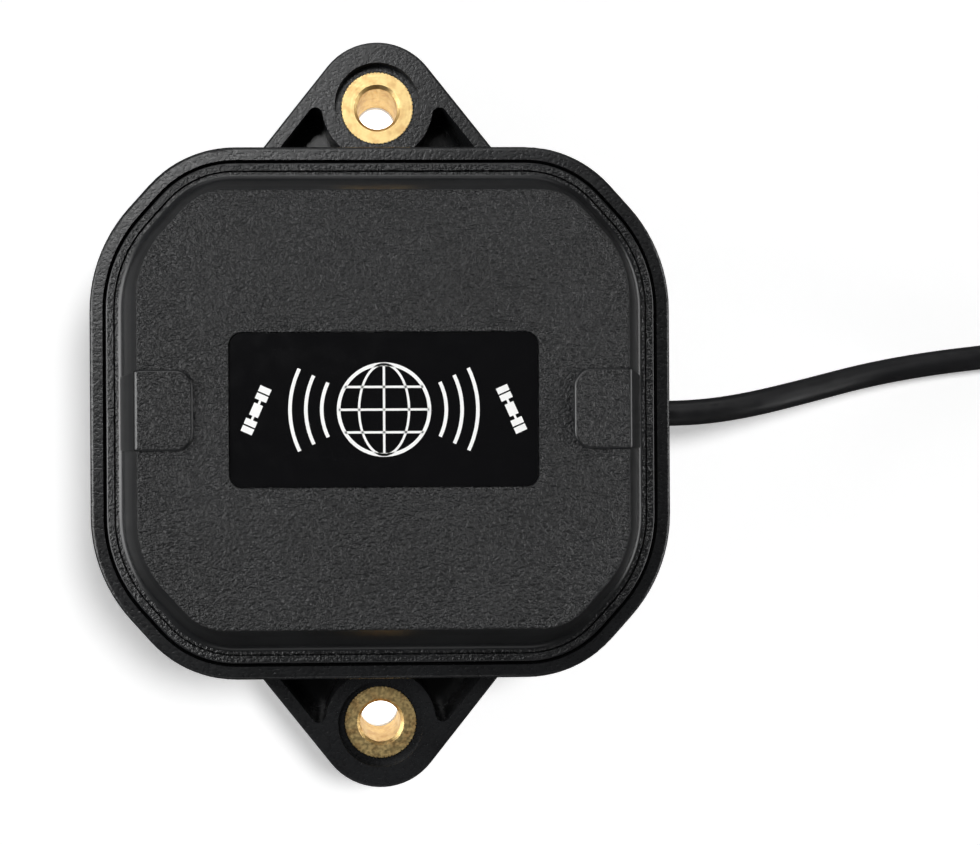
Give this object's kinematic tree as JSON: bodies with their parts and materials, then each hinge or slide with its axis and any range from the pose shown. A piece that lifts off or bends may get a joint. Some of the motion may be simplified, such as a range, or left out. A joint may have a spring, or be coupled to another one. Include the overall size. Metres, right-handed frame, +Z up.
{
  "type": "gnss antenna head with captive coaxial lead",
  "caption": "Low square black antenna head with slanted corners, screw lugs with knurled brass bushes, a raised lidded cover and a thin coaxial lead ending in a screw-on plug.",
  "frame": {"origin": "middle of the housing's underside", "axes": "+Z up out of the cover, towards the sky; the two screw lugs stand out along +Y and -Y; the lead leaves along +X"},
  "size_m": [0.1778, 0.082, 0.0225],
  "materials": {
    "housing": "fine spark-eroded moulded texture",
    "cover": "fine spark-eroded texture on the flats, smoother on the slopes",
    "seal": "matt",
    "front_label": "gloss black printed film with plain white symbols",
    "rating_label": "plain silver-grey film",
    "brass": "turned and knurled, bare",
    "screw_steel": "zinc plated",
    "circuit_board": "green solder mask",
    "tape": "translucent adhesive film",
    "patch_ceramic": "unglazed dielectric ceramic",
    "silver": "fired silver paste",
    "tinned": "tin plated",
    "chip": "moulded",
    "magnet": "nickel plated",
    "keeper_steel": "zinc plated sheet",
    "gland": "matt",
    "lead_jacket": "smooth satin extruded sheath",
    "lead_core": "natural polyethylene",
    "copper": "bare copper",
    "tie": "flat coated wire tie",
    "sleeve": "shrunk sleeve, satin",
    "plug_metal": "nickel plated brass",
    "plug_insulator": "white fluoropolymer",
    "plug_gold": "gold plated",
    "plug_spring": "phosphor bronze",
    "plug_seal": "silicone"
  },
  "bodies": {
    "antenna": {"base_housing": "housing", "top_cover": "cover", "cover_seal": "seal", "front_label": "front_label", "rating_label": "rating_label", "lug_bush_a": "brass", "lug_bush_b": "brass", "case_screws": "screw_steel", "board_screws": "screw_steel", "circuit_board": "circuit_board", "lower_patch_tape": "tape", "lower_patch": "patch_ceramic", "lower_patch_metal": "silver", "upper_patch_tape": "tape", "upper_patch": "patch_ceramic", "upper_patch_metal": "silver", "feed_pins": "tinned", "shield_can": "tinned", "amplifier_chips": "chip", "magnet_a": "magnet", "magnet_b": "magnet", "magnet_keeper": "keeper_steel", "lead_gland": "gland", "lead_crimp_ring": "tinned", "inner_lead": "lead_jacket", "inner_lead_core": "lead_core", "inner_lead_wire": "copper", "lead_run": "lead_jacket", "lead_coil": "lead_jacket", "lead_tail": "lead_jacket", "coil_ties": "tie", "plug_sleeve": "sleeve", "plug_ferrule": "plug_metal", "plug_body": "plug_metal", "plug_insulator": "plug_insulator", "plug_pin": "plug_gold", "plug_retaining_ring": "plug_spring", "plug_seal": "plug_seal"},
    "coupling_nut": {"plug_nut": "plug_metal"}
  },
  "joints": [
    {"name": "coupling_nut_spin", "type": "hinge", "parent": "antenna", "child": "coupling_nut", "pos_m": [0.1438, 0.0288, 0.004], "axis": [1, 0, 0], "continuous": true}
  ]
}
